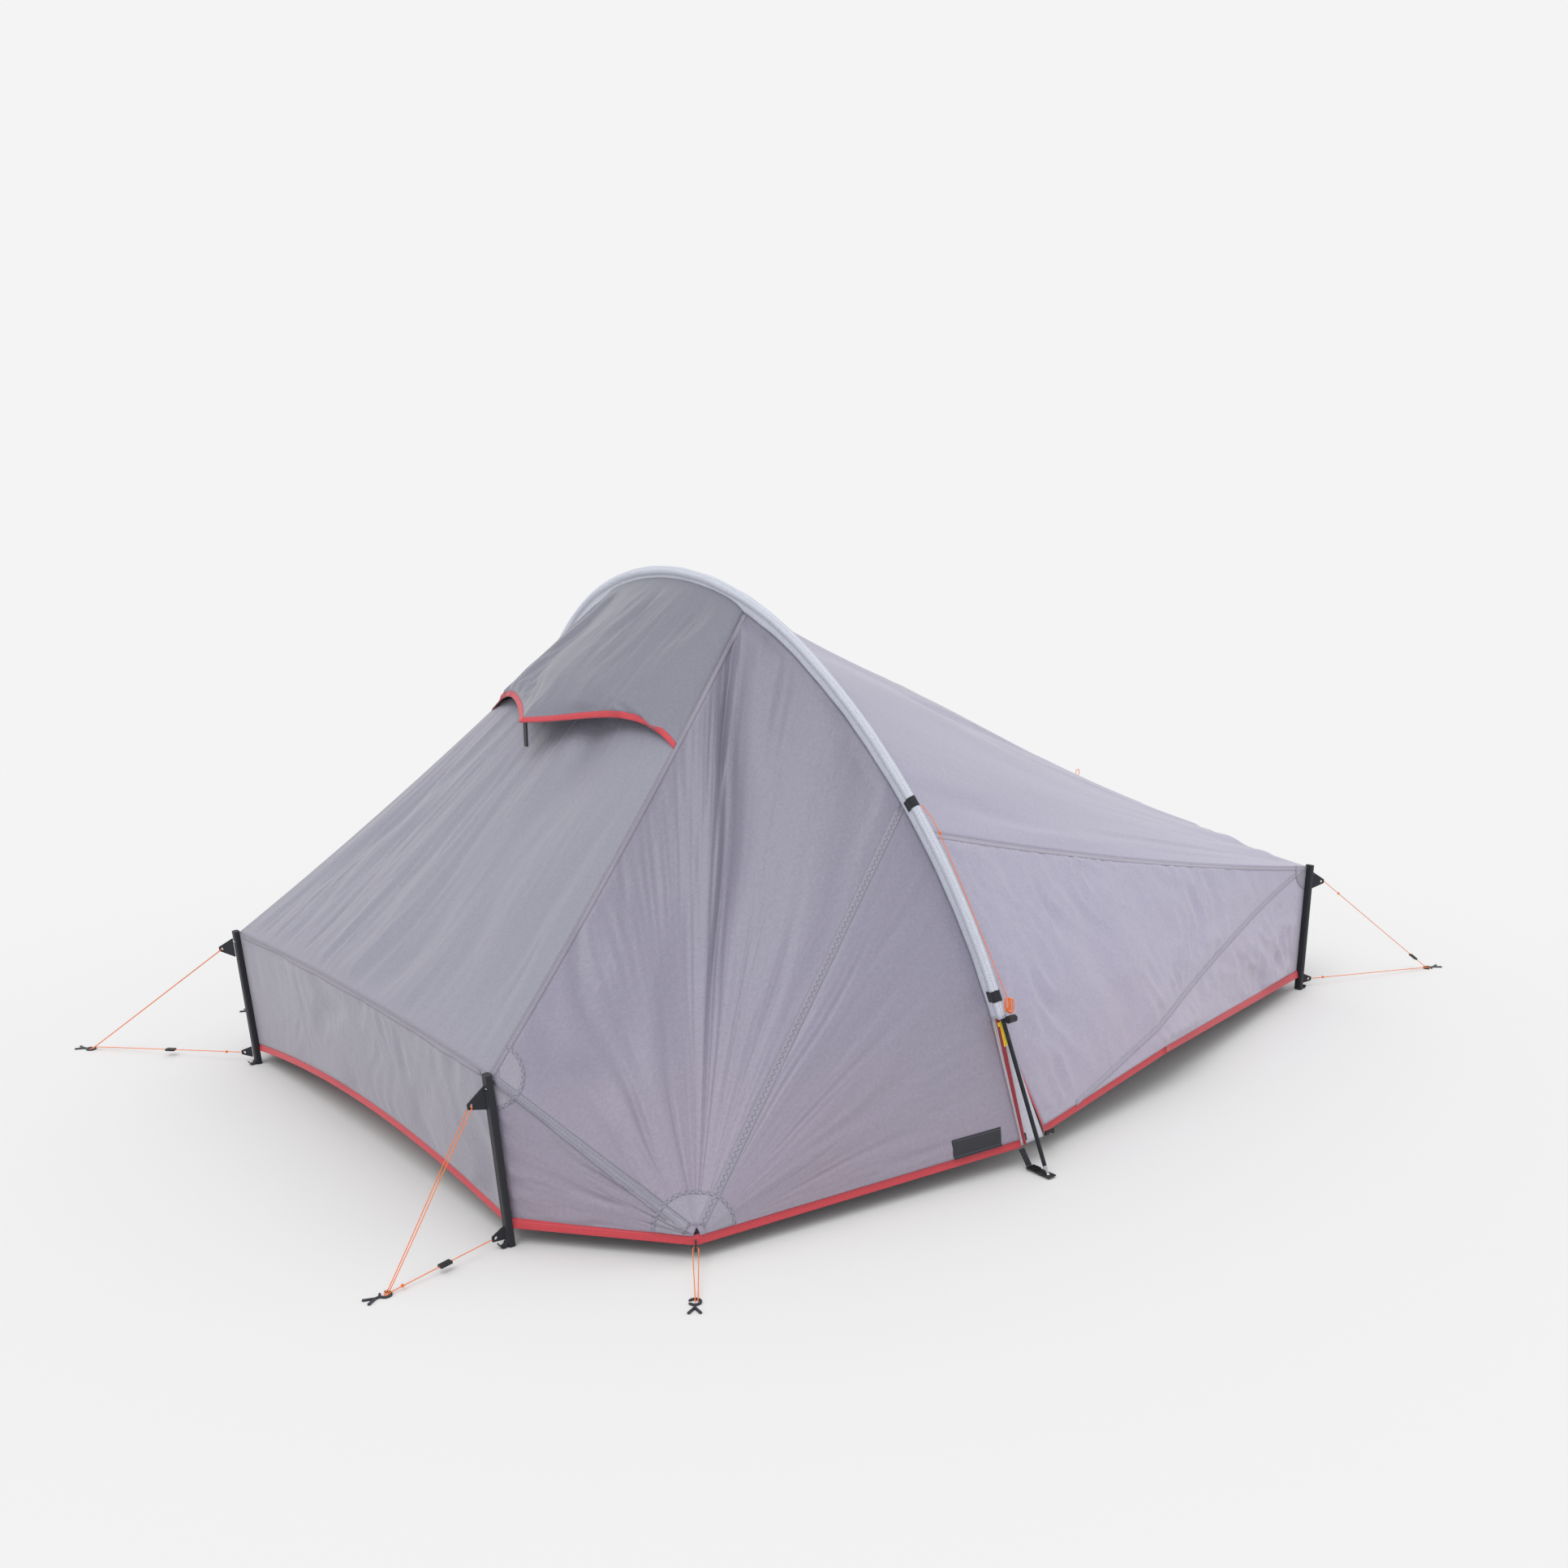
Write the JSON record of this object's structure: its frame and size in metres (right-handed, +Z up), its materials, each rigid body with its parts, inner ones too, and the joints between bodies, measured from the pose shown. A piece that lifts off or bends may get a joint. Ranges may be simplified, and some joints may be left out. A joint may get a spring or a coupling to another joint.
{
  "type": "two-person arch tent on poles",
  "caption": "Low trekking tent pitched on one long arch pole and short corner struts, with a ripstop flysheet, inner tent, vent hood, side doors and pegged guy lines.",
  "frame": {"origin": "centre of the footprint of the pitched tent, anchors included and cords left out, on the ground", "axes": "+Z up; X along the sleeping length, +X towards the end away from the arch; Y across, the near door on the -Y side; azimuth 0 looks along +Y"},
  "size_m": [3.1364, 2.1208, 1.1704],
  "materials": {
    "fly_fabric": "thin ripstop cloth with a soft sheen",
    "sleeve_fabric": "smooth woven cloth",
    "netting": "fine knitted mesh",
    "tape_red": "woven edging tape",
    "webbing_black": "woven webbing",
    "webbing_yellow": "woven webbing",
    "pole_dark": "dark anodised",
    "ferrule": "bare drawn tube",
    "rod_fibre": "pultruded rod",
    "plastic_black": "moulded",
    "anchor_dark": "dark anodised, stamped",
    "cord_orange": "braided cord",
    "shock_cord": "elastic cord with a woven cover",
    "label_cloth": "woven patch, left blank",
    "floor_red": "coated cloth",
    "canopy_cloth": "thin breathable cloth"
  },
  "bodies": {
    "tent": {"arch_pole_sections": "pole_dark", "arch_pole_ferrules": "ferrule", "arch_shock_cord": "shock_cord", "arch_pole_tips": "plastic_black", "pole_sleeve": "sleeve_fabric", "sleeve_bands": "webbing_black", "yellow_straps": "webbing_yellow", "corner_rods": "rod_fibre", "corner_rod_caps": "plastic_black", "corner_sleeves": "webbing_black", "webbing_tabs": "webbing_black", "fly_end_wall_left": "fly_fabric", "fly_roof_left": "fly_fabric", "vent_netting": "netting", "vent_hood_panel": "fly_fabric", "fly_side_corner": "fly_fabric", "fly_side_main": "fly_fabric", "fly_side_rear": "fly_fabric", "fly_roof_right": "fly_fabric", "fly_end_wall_right": "fly_fabric", "fly_side_fixed": "fly_fabric", "hem_binding": "tape_red", "door_zips": "plastic_black", "blank_label": "label_cloth", "pole_foot_plates": "plastic_black", "pole_foot_webbing": "webbing_black", "cord_lock_bodies": "plastic_black", "guy_corner_a": "cord_orange", "guy_corner_b": "cord_orange", "guy_corner_c": "cord_orange", "guy_corner_d": "cord_orange", "guy_middle_near": "cord_orange", "guy_middle_far": "cord_orange", "ground_anchors": "anchor_dark", "arch_guy_near": "cord_orange", "arch_guy_hank_near": "cord_orange", "arch_guy_far": "cord_orange", "arch_guy_hank_far": "cord_orange", "ridge_loop": "cord_orange", "inner_tub_floor": "floor_red", "inner_canopy": "canopy_cloth"},
    "door_near": {"door_flap_near": "fly_fabric", "door_hem_near": "tape_red"},
    "door_far": {"door_flap_far": "fly_fabric", "door_hem_far": "tape_red"},
    "hood": {"vent_hood_visor": "fly_fabric", "vent_hood_binding": "tape_red"},
    "prop": {"vent_prop": "plastic_black"},
    "zip_pull_near": {"zip_slider_near": "plastic_black"},
    "zip_pull_far": {"zip_slider_far": "plastic_black"},
    "line_adjuster_a": {"adjuster_a": "plastic_black"},
    "line_adjuster_b": {"adjuster_b": "plastic_black"},
    "line_adjuster_c": {"adjuster_c": "plastic_black"},
    "line_adjuster_d": {"adjuster_d": "plastic_black"},
    "lock_button_near": {"cord_lock_button_near": "plastic_black"},
    "lock_button_far": {"cord_lock_button_far": "plastic_black"},
    "foot_buckle_near": {"tension_buckle_near": "plastic_black"},
    "foot_buckle_far": {"tension_buckle_far": "plastic_black"},
    "hook_near": {"door_hook_near": "plastic_black"},
    "hook_far": {"door_hook_far": "plastic_black"}
  },
  "joints": [
    {"name": "door_near_fold", "type": "hinge", "parent": "tent", "child": "door_near", "pos_m": [-0.36834, -0.77137, 0.66187], "axis": [-0.7316, 0.1251, 0.6701], "range_deg": [0, 95]},
    {"name": "door_far_fold", "type": "hinge", "parent": "tent", "child": "door_far", "pos_m": [-0.36834, 0.77137, 0.66187], "axis": [0.7316, 0.1251, -0.6701], "range_deg": [0, 95]},
    {"name": "hood_close", "type": "hinge", "parent": "tent", "child": "hood", "pos_m": [-0.70376, 0, 0.85807], "axis": [0, -1, 0], "range_deg": [0, 14]},
    {"name": "prop_fold", "type": "hinge", "parent": "hood", "child": "prop", "pos_m": [-0.82776, 0, 0.85407], "axis": [1, 0, 0], "range_deg": [0, 85]},
    {"name": "zip_near_slide", "type": "slide", "parent": "tent", "child": "zip_pull_near", "axis": [-0.1426, 0.1462, 0.9789], "range_m": [0, 0.18]},
    {"name": "zip_far_slide", "type": "slide", "parent": "tent", "child": "zip_pull_far", "axis": [-0.1426, -0.1462, 0.9789], "range_m": [0, 0.18]},
    {"name": "adjuster_a_slide", "type": "slide", "parent": "tent", "child": "line_adjuster_a", "axis": [0.595, -0.8024, 0.046], "range_m": [0, 0.06]},
    {"name": "adjuster_b_slide", "type": "slide", "parent": "tent", "child": "line_adjuster_b", "axis": [0.9847, 0.1518, 0.0851], "range_m": [0, 0.06]},
    {"name": "adjuster_c_slide", "type": "slide", "parent": "tent", "child": "line_adjuster_c", "axis": [-0.752, 0.2218, 0.6207], "range_m": [0, 0.06]},
    {"name": "adjuster_d_slide", "type": "slide", "parent": "tent", "child": "line_adjuster_d", "axis": [-0.752, -0.2218, 0.6207], "range_m": [0, 0.06]},
    {"name": "lock_near_press", "type": "slide", "parent": "tent", "child": "lock_button_near", "axis": [-1, 0, 0], "range_m": [0, 0.0035], "stiffness_N_per_m": 600},
    {"name": "lock_far_press", "type": "slide", "parent": "tent", "child": "lock_button_far", "axis": [-1, 0, 0], "range_m": [0, 0.0035], "stiffness_N_per_m": 600},
    {"name": "buckle_near_lift", "type": "hinge", "parent": "tent", "child": "foot_buckle_near", "pos_m": [-0.28503, -1.01515, 0.0045], "axis": [1, 0, 0], "range_deg": [0, 25]},
    {"name": "buckle_far_lift", "type": "hinge", "parent": "tent", "child": "foot_buckle_far", "pos_m": [-0.28503, 1.01515, 0.0045], "axis": [-1, 0, 0], "range_deg": [0, 25]},
    {"name": "hook_near_turn", "type": "hinge", "parent": "door_near", "child": "hook_near", "pos_m": [-0.20703, -0.964, 0.046], "axis": [0, 0, -1], "range_deg": [0, 60]},
    {"name": "hook_far_turn", "type": "hinge", "parent": "door_far", "child": "hook_far", "pos_m": [-0.20703, 0.964, 0.046], "axis": [0, 0, 1], "range_deg": [0, 60]}
  ],
  "couplings": [
    {"joint": "prop_fold", "follows": "hood_close", "ratio": 6}
  ]
}
